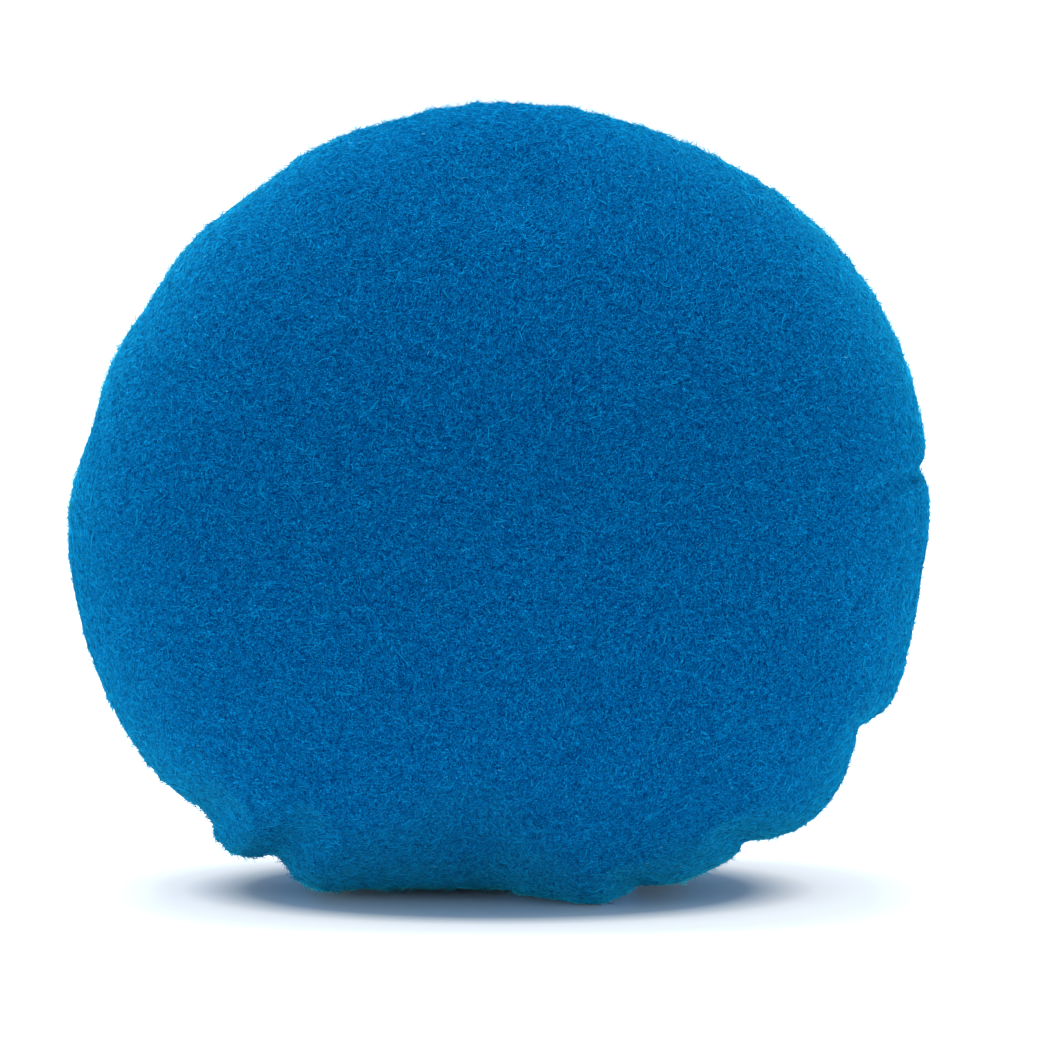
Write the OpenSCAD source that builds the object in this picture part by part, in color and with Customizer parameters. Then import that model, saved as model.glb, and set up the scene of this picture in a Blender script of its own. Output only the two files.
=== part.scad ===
// Flat juggling ball: two round suede panels are sewn together edge to edge, turned right side
// out, filled with fine grain and closed by hand. It stands on its edge, with its front to -Y.

/* [Bag] */
// Width of the filled bag, side to side
bag_w = 85.6; // [70:0.1:110]
// Height of the filled bag as it stands on its edge
bag_h = 79; // [70:0.1:105]
// Depth of the filled bag, front to back
bag_d = 44; // [32:0.5:60]
// Height of the widest line above the surface
belly_z = 38; // [32:0.5:46]
// How far the weight has pressed the round edge flat where it stands
sag = 2; // [1:0.1:4]
// Fullness of the outline below the widest line, where 2 is an ellipse and more is boxier
outline_low = 2.2; // [2:0.05:2.6]
// Depth that the slack top has lost on each side
slack = 4; // [0:0.5:8]
// Roundness of the slack top's crown, where 2 is an ellipse and more is boxier
crown_top = 1.8; // [1.6:0.1:2.6]
// Roundness of the full base's crown
crown_low = 2.4; // [1.8:0.1:3]
// How far the upper left shoulder has slumped in
shoulder_d = 2; // [0:0.1:4]
// Depth of the seam's deepest pucker
pucker_d = 1.6; // [0:0.1:2.4]

/* [Suede] */
// Thickness of the suede cloth
suede_t = 1; // [0.6:0.05:1.5]
// Radius of the rolled edge on each side of the seam
roll_r = 2.2; // [1.8:0.1:3.5]
// Width of the seam allowance, from the stitching line to the cut edge
allowance = 5; // [3:0.5:8]

/* [Stitching] */
// Distance from the bottom of the seam's valley to the stitching line
stitch_in = 1; // [0.8:0.1:2]
// Diameter of the sewing thread
thread_d = 0.4; // [0.25:0.05:0.6]
// Room round the thread in a needle hole
hole_clear = 0.05; // [0.02:0.01:0.15]
// Room between a thread and the face that it lies on
thread_seat = 0.02; // [0.01:0.01:0.1]
// Length of a machine stitch
stitch_l = 3; // [2.5:0.1:5]
// Length of the opening that was left for the filling
opening_l = 30; // [20:1:45]
// Length of a hand stitch
hand_l = 4; // [3:0.5:6]
// Diameter of the closing thread's knots
knot_d = 1; // [0.8:0.1:1.4]

/* [Filling] */
// Empty height between the settled grain and the top of the bag
headroom = 16; // [10:0.5:35]
// Room between the grain and the suede
fill_clear = 0.3; // [0.2:0.05:0.6]

/* [Hidden] */

suede_blue = [0.0, 0.34, 0.6];
thread_blue = [0.02, 0.24, 0.5];
grain_tan = [0.8, 0.7, 0.5];

half_w = bag_w / 2;
half_d = bag_d / 2;
top_h = bag_h - belly_z;
low_h = belly_z + sag;
// The base is formed this much too low, and then cut flat on the surface
foot_cut = 0.5;
slab = 2 * bag_w;

// Puckers of the seam, as [angle from the right-hand side, share of pucker_d], each as wide as two facets
puckers = [[5, 0.375], [55, 0.375], [125, 0.4375], [145, 0.25], [225, 0.5], [235, 0.875], [290, 0.75],
    [305, 0.75], [330, 1], [350, 0.3125]];
// A pucker fades from the seam to the crown with this power of the share of the radius
pucker_fade = 6;
// Middle and half width, in degrees, of the slumped shoulder
shoulder_a = 137;
shoulder_span = 43;

// Facets: degrees between meridians, and the rings as shares of the radius
facet = 5;
meridians = [0:facet:360 - facet];
outer_rings = [0.3, 0.55, 0.76, 0.9, 0.965, 1];
inner_rings = [1, 0.965, 0.9, 0.74, 0.45];
round_fn = 24;

// Two strands lie twisted together where they lock in a needle hole, and each run ends inside its lock
strand_share = 1.5;
tuck_share = 0.2;
loop_d = strand_share * thread_d;
tuck = tuck_share * loop_d;
hole_d = loop_d + 2 * hole_clear;
thread_y = suede_t + thread_seat + thread_d / 2;
lock_y = suede_t + 2 * thread_seat + thread_d;
knot_y = suede_t + thread_seat + knot_d / 2;
hem_in = roll_r + stitch_in + allowance;
fill_in = suede_t + fill_clear;
groove_y = max(roll_r, suede_t + thread_seat + max(thread_d, knot_d) + fill_clear);

// The filling's opening is at the top, and the machine seam runs round from one end of it to the other
top_a = 90;
opening_a = 360 * opening_l / (2 * PI * top_h);
mean_r = (half_w + (top_h + belly_z) / 2) / 2;
machine_n = round((2 * PI * mean_r - opening_l) / stitch_l);
machine_step = (360 - opening_a) / machine_n;
machine_angles = [for (i = [0:machine_n]) top_a + opening_a / 2 + i * machine_step];
hand_n = round(opening_l / hand_l) - 1;
hand_step = opening_a / (hand_n + 1);
hand_angles = [for (i = [0:hand_n]) top_a - opening_a / 2 + (i + 0.5) * hand_step];

// A smooth bump of height 1 at angle mid, which ends span degrees away
function apart(a, b) = abs((a - b + 540) % 360 - 180);
function bump(a, mid, span) = (1 + cos(180 * min(1, apart(a, mid) / span))) / 2;

// Outline of the filled bag round the belly's centre: a half ellipse over a fuller half
function oval(a, h, power) = pow(pow(abs(cos(a)) / half_w, power) + pow(abs(sin(a)) / h, power), -1 / power);
function round_r(a) = (sin(a) > 0 ? oval(a, top_h, 2) : oval(a, low_h, outline_low))
    - shoulder_d * bump(a, shoulder_a, shoulder_span);
function stood_r(a) = sin(a) < 0 ? min(round_r(a), (belly_z + foot_cut) / -sin(a)) : round_r(a);
function pucker(a) = pucker_d * max([for (p = puckers) p[1] * bump(a, p[0], facet)]);
function seam_r(a) = stood_r(a) - pucker(a);

// A point at angle a and radius r, y from the seam's plane and no lower than low
function spot(a, r, y, low) = [r * cos(a), y, max(belly_z + r * sin(a), low)];
function depth(z) = half_d - slack * pow(max(0, z - belly_z) / top_h, 2);
function crown(a) = crown_low + (crown_top - crown_low) * (1 + sin(a)) / 2;
function swell(a, h) = pow(1 - pow(h, crown(a)), 1 / crown(a));

// A point of the bulging face at the share h of the radius, set in by inset, with its rim at y = -rim
function dome(a, h, inset, low, rim) =
    let (r = h * (round_r(a) - inset) - pucker(a) * pow(h, pucker_fade))
    spot(a, r, -rim - (depth(belly_z + r * sin(a)) - rim - inset) * swell(a, h), low);

// A point on the rolled edge of radius rad, turned by t from the face towards the seam
function roll(a, rad, t) = spot(a, seam_r(a) - roll_r + rad * cos(t), -roll_r + rad * sin(t), -foot_cut);

// One meridian of a panel: over the face, round the roll, in along the seam and back on the inside
function panel_line(a) = [
    for (h = outer_rings) dome(a, h, 0, -foot_cut, roll_r),
    roll(a, roll_r, 45),
    roll(a, roll_r, 90),
    spot(a, seam_r(a) - hem_in, 0, 0),
    spot(a, seam_r(a) - hem_in, -suede_t, 0),
    roll(a, roll_r - suede_t, 90),
    roll(a, roll_r - suede_t, 45),
    for (h = inner_rings) dome(a, h, suede_t, suede_t, roll_r)
];
panel_turn = len(outer_rings) + 2;

// One meridian of the filling: the front face, a groove round the allowances, the back face
function fill_side(a) = [for (h = inner_rings) dome(a, h, fill_in, fill_in, groove_y)];
function fill_hem(a) = spot(a, seam_r(a) - hem_in - fill_clear, groove_y, 0);
function flip(p) = [p.x, -p.y, p.z];
function fill_line(a) = let (side = fill_side(a)) [
    for (i = [len(side) - 1:-1:0]) side[i],
    flip(fill_hem(a)),
    fill_hem(a),
    for (p = side) flip(p)
];
fill_turn = len(inner_rings);

// Closes meridians, from the pole start to the pole end, into a solid of triangles. Its quads are
// split the other way before the ring turn, so that faces that lie one inside another match.
module revolved(lines, start, end, turn) {
    m = len(lines);
    n = len(lines[0]);
    last = m * n + 1;
    function at(i, j) = 1 + (i % m) * n + j;
    function quad(p, q, r, s, early) = early ? [[p, q, s], [q, r, s]] : [[p, q, r], [p, r, s]];
    polyhedron(
        points = [start, for (line = lines) each line, end],
        faces = [
            for (i = [0:m - 1]) each [
                [0, at(i + 1, 0), at(i, 0)],
                [at(i, n - 1), at(i + 1, n - 1), last],
                for (j = [0:n - 2])
                    each quad(at(i, j), at(i + 1, j), at(i + 1, j + 1), at(i, j + 1), j < turn)
            ]
        ]
    );
}

// A point of the stitching line at angle a, y from the seam's plane
function stitch(a, y) = spot(a, seam_r(a) - roll_r - stitch_in, y, 0);

// A straight run of thread between the locks at angles a and b
module strand(a, b, y) {
    p = stitch(a, y);
    d = stitch(b, y) - p;
    run = norm(d);
    translate(p + tuck / run * d)
        rotate([0, atan2(d.x, d.z), 0])
            cylinder(h = run - 2 * tuck, d = thread_d, $fn = round_fn);
}

// A round pin along Y at angle a of the stitching line
module pin(a, from_y, to_y, d) {
    translate(stitch(a, from_y)) rotate([-90, 0, 0]) cylinder(h = to_y - from_y, d = d, $fn = round_fn);
}

module needle_holes() {
    for (a = concat(machine_angles, hand_angles)) pin(a, -lock_y, lock_y, hole_d);
}

module panel() {
    outside = [0, -half_d, belly_z];
    inside = [0, suede_t - half_d, belly_z];
    difference() {
        revolved([for (a = meridians) panel_line(a)], outside, inside, panel_turn);
        translate([-slab / 2, -slab / 2, -slab]) cube(slab);
        needle_holes();
    }
}

// One thread of the machine seam: a run along the allowance for each stitch, locked in each needle hole
module lockstitch() {
    for (a = machine_angles) pin(a, -lock_y, 0, loop_d);
    for (i = [1:machine_n]) strand(machine_angles[i - 1], machine_angles[i], -thread_y);
}

module front_panel() {
    color(suede_blue) panel();
}

module back_panel() {
    color(suede_blue) mirror([0, 1, 0]) panel();
}

module needle_thread() {
    color(thread_blue) lockstitch();
}

module bobbin_thread() {
    color(thread_blue) mirror([0, 1, 0]) lockstitch();
}

// Ladder stitch: its runs lie inside the back and the front panel in turn, with a knot at each end
module closing_thread() {
    color(thread_blue) {
        for (a = hand_angles) pin(a, -lock_y, lock_y, loop_d);
        for (i = [1:hand_n]) {
            side = i % 2 == 1 ? 1 : -1;
            strand(hand_angles[i - 1], hand_angles[i], side * thread_y);
        }
        for (a = [hand_angles[0], hand_angles[hand_n]])
            translate(stitch(a, -knot_y)) sphere(d = knot_d, $fn = round_fn);
    }
}

module filling() {
    pole_y = half_d - fill_in;
    color(grain_tan) difference() {
        revolved([for (a = meridians) fill_line(a)], [0, -pole_y, belly_z], [0, pole_y, belly_z], fill_turn);
        translate([-slab / 2, -slab / 2, bag_h - headroom]) cube(slab);
    }
}

front_panel();
back_panel();
needle_thread();
bobbin_thread();
closing_thread();
filling();
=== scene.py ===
"""Looks of the flat juggling ball: two round panels of napped suede, sewn edge to edge round loose grain.

Everything is in metres, +Z up, and the front faces -Y. Angles are in degrees round the belly's middle,
from the right-hand side of the front and anticlockwise as the front is seen.
"""

import math

import bpy
import numpy as np
from mathutils import Matrix, Vector


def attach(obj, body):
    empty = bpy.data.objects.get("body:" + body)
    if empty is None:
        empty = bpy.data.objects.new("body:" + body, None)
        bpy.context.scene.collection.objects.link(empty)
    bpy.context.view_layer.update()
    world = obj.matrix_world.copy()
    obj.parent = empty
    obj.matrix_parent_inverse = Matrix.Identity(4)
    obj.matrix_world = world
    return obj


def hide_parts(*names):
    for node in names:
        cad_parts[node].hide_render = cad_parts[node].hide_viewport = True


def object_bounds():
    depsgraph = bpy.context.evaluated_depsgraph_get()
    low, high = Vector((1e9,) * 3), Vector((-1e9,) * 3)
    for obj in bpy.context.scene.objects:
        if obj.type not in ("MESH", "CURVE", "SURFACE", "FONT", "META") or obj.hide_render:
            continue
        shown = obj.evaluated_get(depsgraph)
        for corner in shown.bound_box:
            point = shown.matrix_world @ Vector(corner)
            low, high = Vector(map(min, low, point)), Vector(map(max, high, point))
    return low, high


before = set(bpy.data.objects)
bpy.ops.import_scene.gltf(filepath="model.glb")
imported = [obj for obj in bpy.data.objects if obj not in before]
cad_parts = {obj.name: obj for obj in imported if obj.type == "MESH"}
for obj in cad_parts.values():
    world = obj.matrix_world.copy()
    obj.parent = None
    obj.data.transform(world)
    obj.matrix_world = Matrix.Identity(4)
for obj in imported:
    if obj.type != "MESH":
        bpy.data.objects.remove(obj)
cad_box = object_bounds()

MM = 0.001
FRONT = -1
BACK = 1

# Bag: its box is the frame's. The rest are the solids' own sizes and powers, but for a fuller top crown
BAG_W, BAG_D, BAG_H = cad_box[1] - cad_box[0]
BELLY_Z = 38 * MM
SAG = 2 * MM
OUTLINE_LOW = 2.2
SLACK = 4 * MM
CROWN_TOP = 2.2
CROWN_LOW = 2.4
SUEDE_T = 1 * MM
ROLL_R = 2.2 * MM
HEM = 6 * MM
HALF_W = BAG_W / 2
HALF_D = BAG_D / 2
TOP_H = BAG_H - BELLY_Z
LOW_H = BELLY_Z + SAG

# Edge: each swelling or slump as middle, half width and how far the edge stands out
LOBES = (
    (137, 43, -2 * MM),
    (35, 40, 0.9 * MM),
    (82, 30, 0.3 * MM),
    (118, 16, 0.7 * MM),
    (137, 16, 0.9 * MM),
    (168, 16, -0.7 * MM),
    (200, 26, -0.4 * MM),
    (231, 6, 1.1 * MM),
    (244, 6, 0.8 * MM),
    (252, 13, -0.8 * MM),
    (266, 20, -2.6 * MM),
    (284, 6, 0.7 * MM),
    (317, 11, 1 * MM),
    (336, 6, 0.3 * MM),
    (349, 14, -0.4 * MM),
)

# Edge: each pucker as middle, how far it eases out before and after that, and its depth
PUCKERS = (
    (7.5, 4, 1.8, 0.8 * MM),
    (224, 7, 1.8, 0.4 * MM),
    (237, 4, 4, 1.1 * MM),
    (271.5, 5, 1.5, 0.6 * MM),
    (290.5, 1.5, 8, 1.5 * MM),
    (307, 1.8, 4.5, 1.1 * MM),
    (330.5, 7, 2, 1.3 * MM),
    (352, 2, 5, 0.4 * MM),
)

# Puckers: the share that the seam pulls in before the bag is filled and the power it fades with towards
# the crown, the share that is pressed in after, and how far past the roll their creases reach
PUCKER_SEWN = 0.2
PUCKER_FADE = 6
PUCKER_PRESSED = 0.7
CREASE_REACH = 4 * MM

# Creases and a dimple in the front, as where each starts and fades out, its half width and its depth
DENTS = (
    ((-33 * MM, 54.2 * MM), (-24 * MM, 50.6 * MM), 1 * MM, 0.4 * MM),
    ((42.6 * MM, 43.3 * MM), (34.5 * MM, 42.3 * MM), 0.7 * MM, 0.9 * MM),
    ((1 * MM, 73 * MM), (9 * MM, 69 * MM), 3.5 * MM, 0.9 * MM),
)

# Fine ripples of the gathered edge: how many go round the bag, where they start and their height, and how
# far from the seam's plane they all reach
RIPPLES = (
    (37, 0.4, 0.13 * MM),
    (58, 2.1, 0.12 * MM),
    (83, 5.2, 0.11 * MM),
    (109, 1.3, 0.11 * MM),
    (127, 3.6, 0.09 * MM),
)
RIPPLE_REACH = 3.5 * MM

# Where the panels have cloth to spare, as middle, half width and share of the most, then the least share
# elsewhere along the seam, and how much longer the cloth is where it has the most
SPARE = ((312, 40, 1), (234, 28, 0.9), (5, 20, 0.5), (127, 16, 0.4), (170, 16, 0.5))
SPARE_LEAST = 0.05
SPARE_MOST = 0.025

# Shares of the way from the crown to the seam: where the spare cloth starts and over what share it grows,
# where the cloth is sewn fast, and where the roll starts
SPARE_START = 0.45
SPARE_EASE = 0.35
SEWN_START = 0.985
ROLL_START = 0.88

# Skin: squares along a cube's edge, rows of squares in the turned-in edge, half the gap between panels,
# how softly the foot flattens on the floor, and the height below which nothing is pressed down
SKIN_SQUARES = 60
HEM_ROWS = 2
SEAM_GAP = 0.002 * MM
FOOT_EASE = 0.6 * MM
FOOT_LEAST = 0.2 * MM

# Stitches: their length, how far each tucks the edge in, and how far from the seam's plane that reaches
STITCH_L = 3 * MM
STITCH_TUCK = 0.15 * MM
TUCK_REACH = 1.5 * MM

# Slump of the back's edge: its middle, half width and depth
SLUMP_MIDDLE = 90
SLUMP_SPAN = 65
SLUMP_DEPTH = 0.9 * MM

# Map of a panel: how far its outer face reaches from the middle, how near to the seam's plane the
# turned-in edge lies, and the size of the inner face beside the outer one
MAP_REACH = 0.43
HEM_FLAT = 0.02 * MM
INNER_SIZE = 0.14

# Nap, from the cloth up: how many fibres, the heights where each is cut across, its least and most length,
# its width, its least and most rise for its length, its most curl in radians, and its darkest and lightest
# shade
NAP = {
    "under": (46000, (), (0.25 * MM, 0.6 * MM), 0.21 * MM, (0.02, 0.2), 0.3, (0, 0.95)),
    "middle": (46000, (), (0.25 * MM, 0.6 * MM), 0.19 * MM, (0.1, 0.35), 0.5, (0, 0.95)),
    "top": (46000, (), (0.25 * MM, 0.6 * MM), 0.17 * MM, (0.2, 0.6), 0.5, (0, 1)),
    "curls": (6000, (0.35, 0.7), (0.6 * MM, 1.6 * MM), 0.12 * MM, (0.12, 0.3), 2.2, (0.75, 0.99)),
    # The edge layer's darkest shade is lighter than the other layers': painted light along the bag's rim
    "edge": (9000, (), (0.2 * MM, 0.9 * MM), 0.16 * MM, (0.4, 1.5), 0.5, (0.2, 1)),
}

# Nap: the layers with little sheen, and how far from the seam's plane it starts and the edge layer ends
DULL = ("under", "top")
NAP_START = 0.4 * MM
EDGE_WIDTH = 5 * MM

# Fibre: how deep its root is sunk in the cloth, its least curl in radians, the powers that make most of
# them short and low, and how steeply each starts to rise and then droops
FIBRE_SUNK = 0.05 * MM
LEAST_CURL = 0.05
MOSTLY_SHORT = 1.7
MOSTLY_LOW = 2
FIBRE_RISE = 1.4
FIBRE_DROOP = 0.6

# Brushing of the nap: its main way in degrees, and how far swirls and chance turn it, in radians
BRUSH_WAY = 20
BRUSH_SWIRL = 0.5
BRUSH_CHANCE = 0.65

# Grain: its size, the least grain's share of that, the step from grain to grain and how far one strays,
# its room to the outside of the cloth, and the level that it has settled to
GRAIN_D = 2.6 * MM
GRAIN_LEAST = 0.85
GRAIN_STEP = GRAIN_D * 1.05
GRAIN_STRAY = 0.06 * GRAIN_D
GRAIN_ROOM = 4 * MM
GRAIN_LEVEL = BAG_H - 17.5 * MM
HEAP_SEED = 5
TURN_SEED = 6

# Cloth: the solver's settings suit a bag about a metre wide, so the skin is settled at ten times its size.
# Then how long that runs, how far a point may move by it, and the share of the move that is kept
SETTLE_SCALE = 10
SETTLE_FRAMES = 24
SETTLE_CAP = 1.8 * MM
SETTLE_SHARE = 0.7

# What the skin starts short of in depth, because it swells, and over in radius, because the seam draws in
START_THIN = 1.2 * MM
START_WIDE = 0.3 * MM

# View: the photograph's width in pixels and its pixels to a millimetre, the camera's elevation in degrees
# and its distance, and the point at the picture's middle
PHOTO_PX = 1048
PX_PER_MM = 10
VIEW_ELEVATION = 8
VIEW_DISTANCE = 700 * MM
VIEW_CENTRE = Vector((2.55 * MM, 0, 37.1 * MM))


# Outline


def bump(angle, middle, span):
    """A smooth hump of height 1 at middle, which ends span degrees away."""
    away = np.abs((angle - middle + 540) % 360 - 180) / span
    return 0.5 + 0.5 * np.cos(math.pi * np.minimum(away, 1))


def pinch(angle, middle, before, after):
    """A sharp dip of depth 1 at middle, which eases out over the degrees before and after it."""
    away = (angle - middle + 540) % 360 - 180
    share = np.where(away < 0, -away / before, away / after)
    return (1 - np.minimum(share, 1)) ** 2


def edge_radius(angle):
    """Radius of the filled bag's edge, without its puckers."""
    turn = np.radians(angle)
    upper = np.sin(turn) > 0
    power = np.where(upper, 2, OUTLINE_LOW)
    height = np.where(upper, TOP_H, LOW_H)
    across = (np.abs(np.cos(turn)) / HALF_W) ** power
    up = (np.abs(np.sin(turn)) / height) ** power
    round_edge = (across + up) ** (-1 / power)
    return START_WIDE + round_edge + sum(out * bump(angle, middle, span) for middle, span, out in LOBES)


def sewn_puckers(angle):
    """How far the seam draws the edge in before the bag is filled."""
    return sum(
        PUCKER_SEWN * depth * bump(angle, middle, (before + after) / 2)
        for middle, before, after, depth in PUCKERS
    )


def pressed_puckers(angle):
    """How far the edge is pressed in once the bag is filled."""
    return sum(
        PUCKER_PRESSED * depth * pinch(angle, middle, before, after)
        for middle, before, after, depth in PUCKERS
    )


def crown_power(turn):
    """How full the crown is: fuller at the foot than at the top."""
    return CROWN_LOW + (CROWN_TOP - CROWN_LOW) * (1 + np.sin(turn)) / 2


def crown_depth(height):
    """How far the crown stands out from the seam's plane, at a height over the belly's middle."""
    return HALF_D - START_THIN - SLACK * (np.maximum(0, height) / TOP_H) ** 2


def angle_of(points):
    """Angle of each point round the belly's middle."""
    return np.degrees(np.arctan2(points[:, 2] - BELLY_Z, points[:, 0])) % 360


def bag_form(directions):
    """Where the skin is in each direction from the bag's middle: over the crown, then round the edge."""
    angle = np.degrees(np.arctan2(directions[:, 2], directions[:, 0])) % 360
    turn = np.radians(angle)
    side = np.sign(directions[:, 1])
    share = np.arccos(np.clip(np.abs(directions[:, 1]), 0, 1)) / (math.pi / 2)

    lean = np.clip(share / ROLL_START, 0, 1) * math.pi / 2
    power = crown_power(turn)
    out = np.sin(lean) ** (2 / power)
    edge = edge_radius(angle)
    radius = out * edge - sewn_puckers(angle) * out**PUCKER_FADE
    crown = crown_depth(radius * np.sin(turn))
    depth = ROLL_R + (crown - ROLL_R) * np.cos(lean) ** (2 / power)

    rolled = share > ROLL_START
    roll = np.clip((share - ROLL_START) / (1 - ROLL_START), 0, 1) * math.pi / 2
    radius = np.where(rolled, edge - sewn_puckers(angle) - ROLL_R + ROLL_R * np.cos(roll), radius)
    depth = np.where(rolled, ROLL_R - ROLL_R * np.sin(roll), depth)
    return np.stack([radius * np.cos(turn), side * depth, BELLY_Z + radius * np.sin(turn)], axis=1)


# Mesh helpers


def points_of(piece):
    points = np.empty(len(piece.data.vertices) * 3)
    piece.data.vertices.foreach_get("co", points)
    return points.reshape(-1, 3)


def move_points(piece, points):
    piece.data.vertices.foreach_set("co", points.ravel())
    piece.data.update()


def choose(piece, chosen):
    """Selects the vertices where chosen is true, and nothing else, and goes into edit mode."""
    bpy.ops.object.select_all(action="DESELECT")
    piece.select_set(True)
    bpy.context.view_layer.objects.active = piece
    bpy.ops.object.mode_set(mode="EDIT")
    bpy.ops.mesh.select_mode(type="VERT")
    bpy.ops.mesh.select_all(action="DESELECT")
    bpy.ops.object.mode_set(mode="OBJECT")
    piece.data.vertices.foreach_set("select", chosen)
    bpy.ops.object.mode_set(mode="EDIT")
    bpy.ops.mesh.select_mode(type="VERT")


def finish_with(piece, name, kind, **settings):
    """Adds a modifier with those settings and applies it."""
    bpy.ops.object.select_all(action="DESELECT")
    piece.select_set(True)
    bpy.context.view_layer.objects.active = piece
    modifier = piece.modifiers.new(name, kind)
    for key, value in settings.items():
        setattr(modifier, key, value)
    bpy.ops.object.modifier_apply(modifier=name)


def copy_of(piece, name):
    copy = piece.copy()
    copy.data = piece.data.copy()
    copy.name = copy.data.name = name
    bpy.context.collection.objects.link(copy)
    return copy


def shade_smooth(piece):
    piece.data.polygons.foreach_set("use_smooth", np.ones(len(piece.data.polygons), bool))


def piece_of(name, points, faces):
    """A new piece with those points and faces."""
    mesh = bpy.data.meshes.new(name)
    mesh.from_pydata(points.tolist(), [], faces)
    piece = bpy.data.objects.new(name, mesh)
    bpy.context.collection.objects.link(piece)
    shade_smooth(piece)
    return piece


def map_copies(piece, count, inside):
    """A map with one small square for each copy in the piece, and the copy's corners at inside in it."""
    rows = math.ceil(math.sqrt(count))
    cell = np.stack([np.arange(count) % rows, np.arange(count) // rows], axis=1)
    spots = (cell[:, None, :] + inside[None, :, :]) / rows
    piece.data.uv_layers.new(name="OFBake").data.foreach_set("uv", spots.ravel())


# Skin of the filled bag


def weigh(piece, name, weights, steps=20):
    """A vertex group with those weights, rounded to a few steps."""
    group = piece.vertex_groups.new(name=name)
    rounded = np.round(weights * steps).astype(int)
    for step in range(1, steps + 1):
        group.add(np.flatnonzero(rounded == step).tolist(), step / steps, "REPLACE")


def filled_skin():
    """Both panels as one closed skin: a cube, cut into squares and rounded, takes the bag's form."""
    bpy.ops.object.select_all(action="DESELECT")
    bpy.ops.mesh.primitive_cube_add(size=2)
    skin = bpy.context.object
    bpy.ops.object.mode_set(mode="EDIT")
    bpy.ops.mesh.select_all(action="SELECT")
    bpy.ops.mesh.subdivide(number_cuts=SKIN_SQUARES - 1)
    bpy.ops.transform.tosphere(value=1)
    bpy.ops.object.mode_set(mode="OBJECT")

    directions = points_of(skin)
    directions /= np.linalg.norm(directions, axis=1, keepdims=True)
    directions[np.abs(directions[:, 1]) < 1e-5, 1] = 0
    formed = bag_form(directions)
    move_points(skin, formed)
    settle(skin, directions)

    moved = points_of(skin) - formed
    far = np.linalg.norm(moved, axis=1, keepdims=True)
    settled = formed + SETTLE_SHARE * moved * np.minimum(1, SETTLE_CAP / np.maximum(far, 1e-9))
    seam = directions[:, 1] == 0
    settled[seam, 1] = 0
    stood = (settled[:, 2] + np.sqrt(settled[:, 2] ** 2 + FOOT_EASE**2)) / 2
    settled[:, 2] = stood - stood.min()
    move_points(skin, settled)
    return skin


def settle(skin, directions):
    """Swells the skin as the filling does. The seam is sewn fast, and the spare cloth gathers along it."""
    angle = np.degrees(np.arctan2(directions[:, 2], directions[:, 0])) % 360
    share = np.arccos(np.abs(directions[:, 1])) / (math.pi / 2)
    near_seam = np.clip((share - SPARE_START) / SPARE_EASE, 0, 1)
    spare = np.max([most * bump(angle, middle, span) for middle, span, most in SPARE], axis=0)
    weigh(skin, "seam", (share > SEWN_START).astype(float))
    weigh(skin, "spare", near_seam * (SPARE_LEAST + (1 - SPARE_LEAST) * spare))

    skin.data.transform(Matrix.Scale(SETTLE_SCALE, 4))
    cloth = skin.modifiers.new("Cloth", "CLOTH")
    cloth.collision_settings.use_collision = False
    cloth.point_cache.frame_end = SETTLE_FRAMES
    settings = cloth.settings
    settings.quality = 5
    settings.mass = 0.3
    settings.tension_stiffness = 40
    settings.compression_stiffness = 40
    settings.shear_stiffness = 20
    settings.bending_stiffness = 6
    settings.vertex_group_mass = "seam"
    settings.use_pressure = True
    settings.uniform_pressure_force = 2
    settings.vertex_group_shrink = "spare"
    settings.shrink_min = 0
    settings.shrink_max = -SPARE_MOST
    settings.effector_weights.gravity = 0
    for step in range(1, SETTLE_FRAMES + 1):
        bpy.context.scene.frame_set(step)
    bpy.context.view_layer.objects.active = skin
    bpy.ops.object.modifier_apply(modifier="Cloth")
    bpy.context.scene.frame_set(1)
    skin.data.transform(Matrix.Scale(1 / SETTLE_SCALE, 4))


def panel_skin(skin, name, side):
    """One panel's outer face: its half of the skin, with its edge turned in along the seam."""
    panel = copy_of(skin, name)
    panel.vertex_groups.clear()
    choose(panel, points_of(panel)[:, 1] * side < -1e-7)
    bpy.ops.mesh.delete(type="VERT")
    bpy.ops.object.mode_set(mode="OBJECT")

    seam = points_of(panel)[:, 1] == 0
    for _ in range(HEM_ROWS):
        choose(panel, seam)
        bpy.ops.mesh.extrude_region_move()
        bpy.ops.object.mode_set(mode="OBJECT")
        seam = np.empty(len(panel.data.vertices), bool)
        panel.data.vertices.foreach_get("select", seam)
        points = points_of(panel)
        turn = np.radians(angle_of(points[seam]))
        points[seam, 0] -= HEM / HEM_ROWS * np.cos(turn)
        points[seam, 2] -= HEM / HEM_ROWS * np.sin(turn)
        points[seam, 2] = np.maximum(points[seam, 2], SUEDE_T)
        move_points(panel, points)
    finish_with(panel, "Soften", "SUBSURF", levels=1, render_levels=1)
    press_puckers(panel, side)
    shade_smooth(panel)
    return panel


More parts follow.
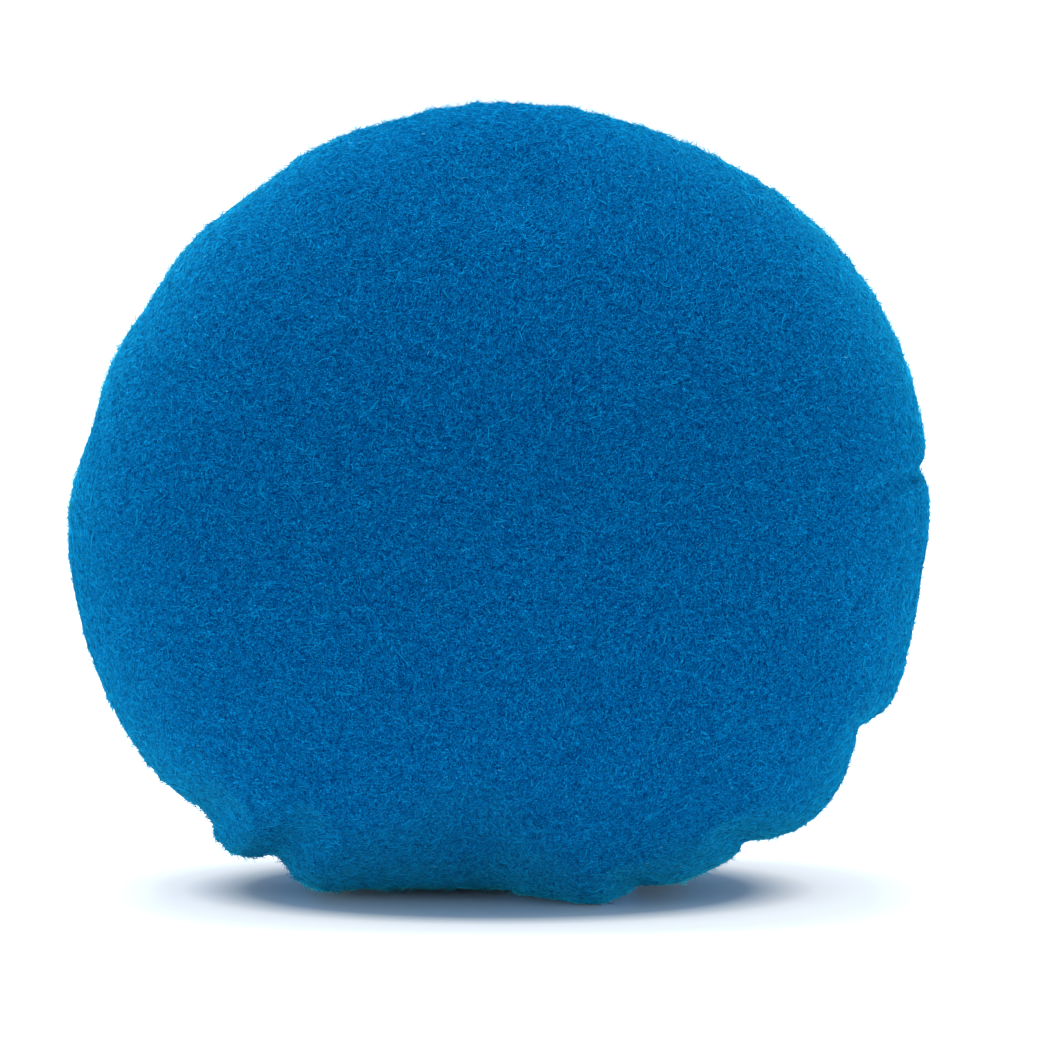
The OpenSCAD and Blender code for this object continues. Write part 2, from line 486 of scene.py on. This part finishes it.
def press_puckers(panel, side):
    """Presses puckers, ripples and stitches into the edge, dents the front and slumps the back's edge."""
    points = points_of(panel)
    angle = angle_of(points)
    turn = np.radians(angle)
    depth = np.abs(points[:, 1])
    crease = np.exp(-((np.maximum(0, depth - ROLL_R) / CREASE_REACH) ** 2))
    inward = pressed_puckers(angle) * crease
    ripple = sum(high * np.sin(count * turn + start + depth / MM) for count, start, high in RIPPLES)
    inward += ripple * np.exp(-((depth / RIPPLE_REACH) ** 2))
    stitches = round(2 * math.pi * HALF_W / STITCH_L)
    tuck = STITCH_TUCK * (0.5 + 0.5 * np.cos(stitches * turn))
    inward += tuck * np.exp(-((depth / TUCK_REACH) ** 2))
    if side == BACK:
        slump = SLUMP_DEPTH * bump(angle, SLUMP_MIDDLE, SLUMP_SPAN)
        inward += slump * crease * np.minimum(1, depth / ROLL_R)
    else:
        outward = np.empty(points.size)
        panel.data.vertices.foreach_get("normal", outward)
        inset = dented(points) * np.minimum(1, depth / (2 * ROLL_R))
        points -= inset[:, None] * outward.reshape(-1, 3)
    points[:, 0] -= inward * np.cos(turn)
    lowest = np.minimum(points[:, 2], FOOT_LEAST)
    points[:, 2] = np.maximum(points[:, 2] - inward * np.sin(turn), lowest)
    points[:, 1] += side * SEAM_GAP
    move_points(panel, points)


def dented(points):
    """How far the creases and the dimple push each point in."""
    flat = points[:, (0, 2)]
    inward = np.zeros(len(points))
    for first, last, width, deep in DENTS:
        way = np.subtract(last, first)
        along = np.clip((flat - first) @ way / (way @ way), 0, 1)
        away = np.linalg.norm(flat - first - along[:, None] * way, axis=1)
        inward += deep * (1 - along**2) * np.exp(-((away / width) ** 2))
    return inward


def flat_map(panel):
    """A map that spreads the panel on a disc, with its turned-in edge round the rim."""
    points = points_of(panel)
    turn = np.radians(angle_of(points))
    radius = np.hypot(points[:, 0], points[:, 2] - BELLY_Z)
    depth = np.abs(points[:, 1]) - SEAM_GAP
    share = np.arctan2(radius / HALF_W, depth / HALF_D) / (math.pi / 2)
    edge = edge_radius(angle_of(points)) - ROLL_R
    share = np.where(depth < HEM_FLAT, 1 + np.maximum(0, edge - radius) / (2 * BAG_W), share)
    out = MAP_REACH * share
    spot = np.stack([0.5 + out * np.cos(turn), 0.5 + out * np.sin(turn)], axis=1)
    corners = np.empty(len(panel.data.loops), int)
    panel.data.loops.foreach_get("vertex_index", corners)
    panel.data.uv_layers.new(name="OFBake").data.foreach_set("uv", spot[corners].ravel())


def cover(panel, cloth):
    """Gives the panel's skin its thickness. The inner face takes a small corner of the map."""
    flat_map(panel)
    faces = len(panel.data.polygons)
    finish_with(panel, "Thickness", "SOLIDIFY", thickness=SUEDE_T, offset=-1)
    map_data = panel.data.uv_layers["OFBake"].data
    spots = np.empty(len(map_data) * 2)
    map_data.foreach_get("uv", spots)
    spots = spots.reshape(-1, 2)
    first_inner = panel.data.polygons[faces].loop_start
    spots[first_inner:] *= INNER_SIZE
    map_data.foreach_set("uv", spots.ravel())
    shade_smooth(panel)
    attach(panel, "root")
    panel.data.materials.append(cloth)


# Nap


def fibre_shape(cuts):
    """One fibre along +Z, 1 long and 1 wide: a three-sided spike, filled out where it is cut across."""
    bpy.ops.object.select_all(action="DESELECT")
    bpy.ops.mesh.primitive_cone_add(vertices=3, radius1=0.5, radius2=0, depth=1, location=(0, 0, 0.5))
    bpy.ops.object.transform_apply(location=True)
    spike = bpy.context.object
    bpy.ops.object.mode_set(mode="EDIT")
    for height in cuts:
        bpy.ops.mesh.select_all(action="SELECT")
        bpy.ops.mesh.bisect(plane_co=(0, 0, height), plane_no=(0, 0, 1))
    bpy.ops.object.mode_set(mode="OBJECT")
    points = points_of(spike)
    height = points[:, 2]
    points[:, :2] *= (1 + height + height**2)[:, None]
    faces = [list(face.vertices) for face in spike.data.polygons]
    bpy.data.objects.remove(spike)
    return points, faces


def scatter(panel, count, width, rng):
    """Random places on the panel's outer face, within width of the seam's plane, and its normals there."""
    points = points_of(panel)
    normals = np.empty(len(points) * 3)
    panel.data.vertex_normals.foreach_get("vector", normals)
    normals = normals.reshape(-1, 3)
    corners = np.array([list(face.vertices) for face in panel.data.polygons])
    deep = np.abs(points[corners, 1]).max(axis=1)
    corners = corners[(deep > NAP_START) & (deep < width)]
    diagonal = points[corners[:, 2]] - points[corners[:, 0]]
    other_diagonal = points[corners[:, 3]] - points[corners[:, 1]]
    area = np.linalg.norm(np.cross(diagonal, other_diagonal), axis=1)
    square = corners[rng.choice(len(corners), count, p=area / area.sum())]
    across, along = rng.random((2, count, 1))
    weights = ((1 - across) * (1 - along), across * (1 - along), across * along, (1 - across) * along)
    place = sum(weight * points[square[:, i]] for i, weight in enumerate(weights))
    looks = sum(weight * normals[square[:, i]] for i, weight in enumerate(weights))
    return place, looks / np.linalg.norm(looks, axis=1, keepdims=True)


def brushed(place, normal, rng):
    """Ways along the face that the fibres lie: brushed in loose swirls, with much of it left to chance."""
    x, z = place[:, 0] / MM, place[:, 2] / MM
    swirl = np.sin(x / 9 + np.sin(z / 7)) + np.sin(z / 8 - 1.3 * np.sin(x / 11))
    swirl = swirl + 0.6 * np.sin((x + z) / 4)
    chance = rng.normal(0, BRUSH_CHANCE, len(place))
    to_or_fro = math.pi * rng.integers(0, 2, len(place))
    turn = np.radians(BRUSH_WAY) + BRUSH_SWIRL * swirl + chance + to_or_fro
    flat = np.stack([np.cos(turn), np.zeros(len(place)), np.sin(turn)], axis=1)
    flat -= normal * np.sum(flat * normal, axis=1, keepdims=True)
    return flat / np.maximum(np.linalg.norm(flat, axis=1, keepdims=True), 1e-9)


def nap(panel, name, layer, seed, hair):
    """A layer of fibres on the panel. Each lies along the face, lifts off it and curls."""
    count, cuts, length, width, rise, curl, shades = NAP[layer]
    rng = np.random.default_rng(seed)
    place, normal = scatter(panel, count, EDGE_WIDTH if layer == "edge" else BAG_D, rng)
    along = brushed(place, normal, rng)
    across = np.cross(normal, along)
    shape, shape_faces = fibre_shape(cuts)

    reach = length[0] + (length[1] - length[0]) * rng.random((count, 1)) ** MOSTLY_SHORT
    lift = rise[0] + (rise[1] - rise[0]) * rng.random((count, 1)) ** MOSTLY_LOW
    bend = curl * rng.uniform(-1, 1, (count, 1))
    bend = np.where(np.abs(bend) < LEAST_CURL, LEAST_CURL, bend)
    share = shape[:, 2][None, :]
    ahead = reach * np.sin(bend * share) / bend
    aside = reach * (1 - np.cos(bend * share)) / bend + shape[:, 0] * width
    arch = share * (FIBRE_RISE - FIBRE_DROOP * share)
    above = reach * lift * arch - FIBRE_SUNK + shape[:, 1] * width
    points = (
        place[:, None, :]
        + along[:, None, :] * ahead[:, :, None]
        + across[:, None, :] * aside[:, :, None]
        + normal[:, None, :] * above[:, :, None]
    ).reshape(-1, 3)
    points[:, 2] = np.maximum(points[:, 2], 0)
    rounded = normal[:, None, :] * (1 + shape[:, 1, None]) + across[:, None, :] * shape[:, 0, None]

    firsts = (np.arange(count) * len(shape)).tolist()
    faces = [[first + i for i in face] for first in firsts for face in shape_faces]
    piece = piece_of(name, points, faces)
    shade = np.repeat(rng.uniform(*shades, count), len(shape))
    mesh = piece.data
    mesh.attributes.new("shade", "FLOAT", "POINT").data.foreach_set("value", shade)
    mesh.attributes.new("reach", "FLOAT", "POINT").data.foreach_set("value", np.tile(shape[:, 2], count))
    corner = np.concatenate(shape_faces)
    inside = np.stack([0.5 + 0.6 * shape[corner, 0], 0.15 + 0.7 * shape[corner, 2]], axis=1)
    map_copies(piece, count, inside)
    mesh.normals_split_custom_set_from_vertices(rounded.reshape(-1, 3))
    mesh.materials.append(hair)
    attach(piece, "root")


# Filling


def seed_shape():
    """One seed: a rounded lump, flattened and drawn out a little."""
    bpy.ops.object.select_all(action="DESELECT")
    bpy.ops.mesh.primitive_ico_sphere_add(subdivisions=1, radius=GRAIN_D / 2)
    seed = bpy.context.object
    bpy.ops.object.mode_set(mode="EDIT")
    bpy.ops.mesh.select_all(action="SELECT")
    bpy.ops.transform.resize(value=(1, 0.88, 0.78))
    bpy.ops.object.mode_set(mode="OBJECT")
    points = points_of(seed)
    faces = np.array([list(face.vertices) for face in seed.data.polygons])
    bpy.data.objects.remove(seed)
    return points, faces


def heap():
    """Places of the grains: packed in layers up to the level of the heap, clear of the cloth."""
    count = np.ceil(np.array([BAG_W, BAG_D, BAG_H]) / GRAIN_STEP * math.sqrt(2)).astype(int)
    ranges = [np.arange(-n, n + 1) for n in count]
    cell = np.stack(np.meshgrid(*ranges, indexing="ij"), axis=-1).reshape(-1, 3)
    place = cell[cell.sum(axis=1) % 2 == 0] * GRAIN_STEP / math.sqrt(2)
    place += np.random.default_rng(HEAP_SEED).normal(0, GRAIN_STRAY, place.shape)
    place[:, 2] += BELLY_Z

    angle = angle_of(place)
    height = place[:, 2] - BELLY_Z
    radius = np.hypot(place[:, 0], height)
    room = edge_radius(angle) - GRAIN_ROOM
    share = np.minimum(radius / room, 1)
    power = crown_power(np.radians(angle))
    deep = (crown_depth(height) - GRAIN_ROOM) * (1 - share**power) ** (1 / power)
    depth = np.abs(place[:, 1])
    inside = (radius < room) & (depth < deep) & (place[:, 2] > GRAIN_ROOM) & (place[:, 2] < GRAIN_LEVEL)
    clear_of_hem = (radius < edge_radius(angle) - ROLL_R - HEM - GRAIN_ROOM) | (depth > GRAIN_ROOM)
    return place[inside & clear_of_hem]


def filling(husk):
    """The grain: one seed, copied to every place of the heap and turned at random."""
    place = heap()
    shape, shape_faces = seed_shape()
    rng = np.random.default_rng(TURN_SEED)
    turned, _ = np.linalg.qr(rng.normal(size=(len(place), 3, 3)))
    turned *= np.sign(np.linalg.det(turned))[:, None, None]
    size = rng.uniform(GRAIN_LEAST, 1, (len(place), 1, 1))
    points = place[:, None, :] + size * np.einsum("pj,nij->npi", shape, turned)
    faces = shape_faces[None] + (np.arange(len(place)) * len(shape))[:, None, None]
    piece = piece_of("grain", points.reshape(-1, 3), faces.reshape(-1, 3).tolist())
    corner = shape[shape_faces.ravel()] / GRAIN_D
    map_copies(piece, len(place), 0.5 + 0.45 * corner[:, :2])
    piece.data.materials.append(husk)
    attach(piece, "root")
    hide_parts("filling")


# Materials


class Wire:
    """An output of a node, so that a pattern is written as a sum."""

    def __init__(self, tree, socket):
        self.tree = tree
        self.socket = socket

    def node(self, kind, settings=None, inputs=None, output=0):
        """The output of a new node with those settings and inputs, which are values or wires."""
        added = self.tree.nodes.new("ShaderNode" + kind)
        for key, value in (settings or {}).items():
            if key == "stops":
                set_stops(added.color_ramp, value)
            else:
                setattr(added, key, value)
        for key, value in (inputs or {}).items():
            if isinstance(value, Wire):
                self.tree.links.new(value.socket, added.inputs[key])
            else:
                added.inputs[key].default_value = value
        return Wire(self.tree, added.outputs[output])

    def math(self, operation, first, second):
        return self.node("Math", {"operation": operation}, {0: first, 1: second})

    def __add__(self, other):
        return self.math("ADD", self, other)

    def __radd__(self, other):
        return self.math("ADD", other, self)

    def __sub__(self, other):
        return self.math("SUBTRACT", self, other)

    def __rsub__(self, other):
        return self.math("SUBTRACT", other, self)

    def __mul__(self, other):
        return self.math("MULTIPLY", self, other)

    def __rmul__(self, other):
        return self.math("MULTIPLY", other, self)


def set_stops(ramp, stops):
    """Stops of a colour ramp, as position and colour."""
    while len(ramp.elements) < len(stops):
        ramp.elements.new(0.5)
    for element, (position, colour) in zip(ramp.elements, stops):
        element.position = position
        element.color = (*colour, 1)


def new_material(name):
    """An empty procedural material: its main shader, and a wire of Object coordinates to build on."""
    material = bpy.data.materials.new(name)
    material.use_nodes = True
    tree = material.node_tree
    shader = tree.nodes["Principled BSDF"]
    coordinates = tree.nodes.new("ShaderNodeTexCoord")
    return material, shader, Wire(tree, coordinates.outputs["Object"])


def feed(shader, **inputs):
    """Links wires to the shader's sockets and sets plain values. An underscore stands for a space."""
    for key, value in inputs.items():
        socket = shader.inputs[key.replace("_", " ")]
        if isinstance(value, Wire):
            value.tree.links.new(value.socket, socket)
        else:
            socket.default_value = value


# Suede colours. On the cloth the dark end is painted shade in the gaps between the fibres
SUEDE_DARK = (0.0001, 0.014, 0.12)
SUEDE_BLUE = (0.0002, 0.099, 0.38)
SUEDE_LIGHT = (0.003, 0.4, 0.88)

# Sheen of the suede: its colour, and its weight on the cloth, on the dull fibres and on the bright ones
SUEDE_SHEEN = (0.03, 0.76, 1, 1)
CLOTH_SHEEN = 0.55
DULL_SHEEN = 0.35
BRIGHT_SHEEN = 0.7

# Pale specks: their colour, and the shade past which a fibre turns pale
PALE_SPECK = (0.08, 0.5, 0.82, 1)
PALE_SPECK_SHADE = 0.998


def give_sheen(shader, weight):
    feed(shader, Specular_IOR_Level=0, Sheen_Weight=weight, Sheen_Roughness=0.5, Sheen_Tint=SUEDE_SHEEN)


def suede():
    """Napped suede: felted fibres, with the shade in the gaps between them painted dark."""
    material, shader, at = new_material("napped_suede")
    noise = {"Vector": at, "Scale": 3600, "Detail": 2, "Roughness": 0.6, "Distortion": 2.5}
    worms = at.node("TexNoise", {}, noise)
    # Where the noise is low are the gaps between fibres: painted dark as shade, and sunk in the bump
    fibres_and_shaded_gaps = at.node("MapRange", {}, {"Value": worms, "From Min": 0.33, "From Max": 0.67})
    stops = ((0.1, SUEDE_DARK), (0.55, SUEDE_BLUE), (1, SUEDE_LIGHT))
    colour = at.node("ValToRGB", {"stops": stops}, {"Fac": fibres_and_shaded_gaps * 0.95})
    ruffled = at.node("Bump", {}, {"Height": fibres_and_shaded_gaps, "Strength": 0.5, "Distance": 0.12 * MM})
    feed(shader, Base_Color=colour, Roughness=0.92 - fibres_and_shaded_gaps * 0.08, Normal=ruffled)
    give_sheen(shader, CLOTH_SHEEN)
    return material


def fibre(name, sheen):
    """A suede fibre: darker at its root, with a shade of its own. A few of the lightest are pale specks.
    """
    material, shader, at = new_material(name)
    shade = at.node("Attribute", {"attribute_name": "shade"}, output=2)
    reach = at.node("Attribute", {"attribute_name": "reach"}, output=2)
    tone = 0.05 + 0.1 * reach + 0.8 * shade
    stops = ((0.1, SUEDE_DARK), (0.5, SUEDE_BLUE), (1, SUEDE_LIGHT))
    colour = at.node("ValToRGB", {"stops": stops}, {"Fac": tone})
    # Fibres past the pale-speck shade turn pale
    specks = at.math("GREATER_THAN", shade, PALE_SPECK_SHADE)
    mixed = at.node("Mix", {"data_type": "RGBA"}, {0: specks, 6: colour, 7: PALE_SPECK}, output=2)
    feed(shader, Base_Color=mixed, Roughness=0.75 + 0.15 * shade)
    give_sheen(shader, sheen)
    return material


def thread():
    """Spun sewing thread: fine slanting plies with a satin glint."""
    material, shader, at = new_material("spun_thread")
    wave = {"Vector": at, "Scale": 1400, "Distortion": 1.5}
    plies = at.node("TexWave", {"bands_direction": "DIAGONAL"}, wave)
    specks = at.node("TexNoise", {}, {"Vector": at, "Scale": 3000, "Detail": 2})
    tone = plies * 0.6 + specks * 0.4
    stops = ((0.2, (0.001, 0.02, 0.11)), (0.8, (0.004, 0.07, 0.26)))
    colour = at.node("ValToRGB", {"stops": stops}, {"Fac": tone})
    twisted = at.node("Bump", {}, {"Height": plies, "Strength": 0.7, "Distance": 0.05 * MM})
    feed(shader, Base_Color=colour, Roughness=0.5 + specks * 0.2, Normal=twisted)
    return material


def grain():
    """Dry seed: pale husks, each a little lighter or darker, with fine lines."""
    material, shader, at = new_material("dry_grain")
    husks = at.node("TexVoronoi", {}, {"Vector": at, "Scale": 380}, output="Distance")
    lines = at.node("TexNoise", {}, {"Vector": at, "Scale": 2200, "Detail": 3})
    stops = ((0.2, (0.36, 0.22, 0.08)), (0.55, (0.58, 0.41, 0.18)), (0.85, (0.75, 0.58, 0.3)))
    colour = at.node("ValToRGB", {"stops": stops}, {"Fac": husks * 0.5 + lines * 0.6})
    ribbed = at.node("Bump", {}, {"Height": lines, "Strength": 0.4, "Distance": 0.1 * MM})
    feed(shader, Base_Color=colour, Roughness=0.5 + lines * 0.2, Normal=ribbed)
    return material


# Stage

# Room: its light on the bag, how bright the camera sees it, and its tint
ROOM_LIGHT = 0.39
ROOM_SEEN = 1.1
ROOM_TINT = (0.92, 0.97, 1, 1)

# Floor: its width, its colour as light meets it and as the camera sees it, blue to paint the bag's blue
# bounce light into its shade, the glow that the camera sees, as distance from the bag's foot and colour,
# black near the foot to paint the shade's crisp edge, and the factors on that distance along x, y and z
FLOOR_WIDTH = 6
PAPER = (0.9, 0.9, 0.9, 1)
PAPER_SEEN_PAINTED_BOUNCE = (0.6, 0.84, 1, 1)
FLOOR_GLOW_PAINTED_SHADE = ((0.027, (0, 0, 0)), (0.036, (0.66, 0.62, 0.57)), (0.1, (0.8, 0.8, 0.8)))
SHADE_SPREAD = (1.1, 1.875, 1)

# Lamps: their place, size, power and tint. A pair of side lamps stands in front, and a weaker pair behind
OVERHEAD_PLACE = (-0.05, 0.06, 0.75)
OVERHEAD_SIZE = (0.4, 0.14)
OVERHEAD_WATTS = 5
OVERHEAD_TINT = (1, 1, 1)
SIDE_PLACE = (0.6, 0.2, 0.06)
SIDE_SIZE = (0.3, 0.12)
SIDE_WATTS = ((FRONT, "front", 1.6), (BACK, "back", 0.9))
SIDE_TINT = (1, 0.98, 0.88)


def floor():
    """White paper. The camera sees it glow, and the glow fades out in the bag's shade, which paints the
    shade's crisp edge. The camera sees the paper blue, which paints the bag's blue bounce light into the
    shade.
    """
    bpy.ops.object.select_all(action="DESELECT")
    bpy.ops.mesh.primitive_plane_add(size=FLOOR_WIDTH)
    plane = bpy.context.object
    plane.name = "floor"
    material, shader, at = new_material("paper_floor")
    seen = at.node("LightPath", output="Is Camera Ray")
    # The glow is black near the bag's foot, so that it paints the shade's crisp edge
    spread = at.node("VectorMath", {"operation": "MULTIPLY"}, {0: at, 1: SHADE_SPREAD})
    away = at.node("VectorMath", {"operation": "LENGTH"}, {0: spread}, output="Value")
    glow = at.node("ValToRGB", {"stops": FLOOR_GLOW_PAINTED_SHADE}, {"Fac": away})
    feed(shader, Base_Color=PAPER, Roughness=0.9, Specular_IOR_Level=0.1)
    # The camera sees the paper blue: painted blue bounce light from the bag in its shade
    white = at.node("BsdfDiffuse", {}, {"Color": PAPER_SEEN_PAINTED_BOUNCE})
    shining = at.node("Emission", {}, {"Color": glow})
    bright = at.node("AddShader", {}, {0: white, 1: shining})
    paper = at.node("MixShader", {}, {0: seen, 1: Wire(at.tree, shader.outputs[0]), 2: bright})
    at.tree.links.new(paper.socket, at.tree.nodes["Material Output"].inputs["Surface"])
    plane.data.materials.append(material)


def backdrop():
    """A white room, brighter to the camera than to the bag."""
    world = bpy.data.worlds.new("white_room")
    bpy.context.scene.world = world
    world.use_nodes = True
    tree = world.node_tree
    path = Wire(tree, tree.nodes.new("ShaderNodeLightPath").outputs["Is Camera Ray"])
    strength = ROOM_LIGHT + path * (ROOM_SEEN - ROOM_LIGHT)
    tree.links.new(strength.socket, tree.nodes["Background"].inputs["Strength"])
    tree.nodes["Background"].inputs["Color"].default_value = ROOM_TINT


def softbox(name, place, aim, size, watts, tint):
    lamp = bpy.data.lights.new(name, "AREA")
    lamp.shape = "RECTANGLE"
    lamp.size, lamp.size_y = size
    lamp.energy = watts
    lamp.color = tint
    holder = bpy.data.objects.new(name, lamp)
    bpy.context.collection.objects.link(holder)
    holder.location = place
    holder.rotation_euler = (Vector(aim) - holder.location).to_track_quat("-Z", "Y").to_euler()


def lamps():
    """One soft lamp overhead, and one low on each side in front and behind."""
    under = (*OVERHEAD_PLACE[:2], 0)
    softbox("overhead", OVERHEAD_PLACE, under, OVERHEAD_SIZE, OVERHEAD_WATTS, OVERHEAD_TINT)
    out, ahead, high = SIDE_PLACE
    middle = (0, 0, BELLY_Z)
    for side, name, watts in SIDE_WATTS:
        softbox(name + "_left", (-out, ahead * side, high), middle, SIDE_SIZE, watts, SIDE_TINT)
        softbox(name + "_right", (out, ahead * side, high), middle, SIDE_SIZE, watts, SIDE_TINT)


def camera():
    """The photograph's view: a little from above, with the bag at its scale."""
    view = bpy.data.cameras.new("camera")
    holder = bpy.data.objects.new("camera", view)
    bpy.context.collection.objects.link(holder)
    tilt = math.radians(VIEW_ELEVATION)
    back = Vector((0, -math.cos(tilt), math.sin(tilt)))
    holder.location = VIEW_CENTRE + VIEW_DISTANCE * back
    holder.rotation_euler = (-back).to_track_quat("-Z", "Y").to_euler()
    view.lens = view.sensor_width * VIEW_DISTANCE / (PHOTO_PX / PX_PER_MM * MM)
    view.clip_start = 10 * MM
    bpy.context.scene.camera = holder


# Assembly

skin = filled_skin()
cloth = suede()
dull = fibre("dull_fibre", DULL_SHEEN)
bright = fibre("bright_fibre", BRIGHT_SHEEN)
for side, name in ((FRONT, "front"), (BACK, "back")):
    panel = panel_skin(skin, name + "_cover", side)
    for number, layer in enumerate(NAP):
        seed = 10 * number + side + 1
        nap(panel, name + "_" + layer, layer, seed, dull if layer in DULL else bright)
    cover(panel, cloth)
    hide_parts(name + "_panel")
bpy.data.objects.remove(skin)

spun = thread()
for node in ("needle_thread", "bobbin_thread", "closing_thread"):
    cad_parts[node].data.materials.clear()
    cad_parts[node].data.materials.append(spun)
filling(grain())

floor()
backdrop()
lamps()
camera()

bpy.context.scene.view_settings.view_transform = "Standard"
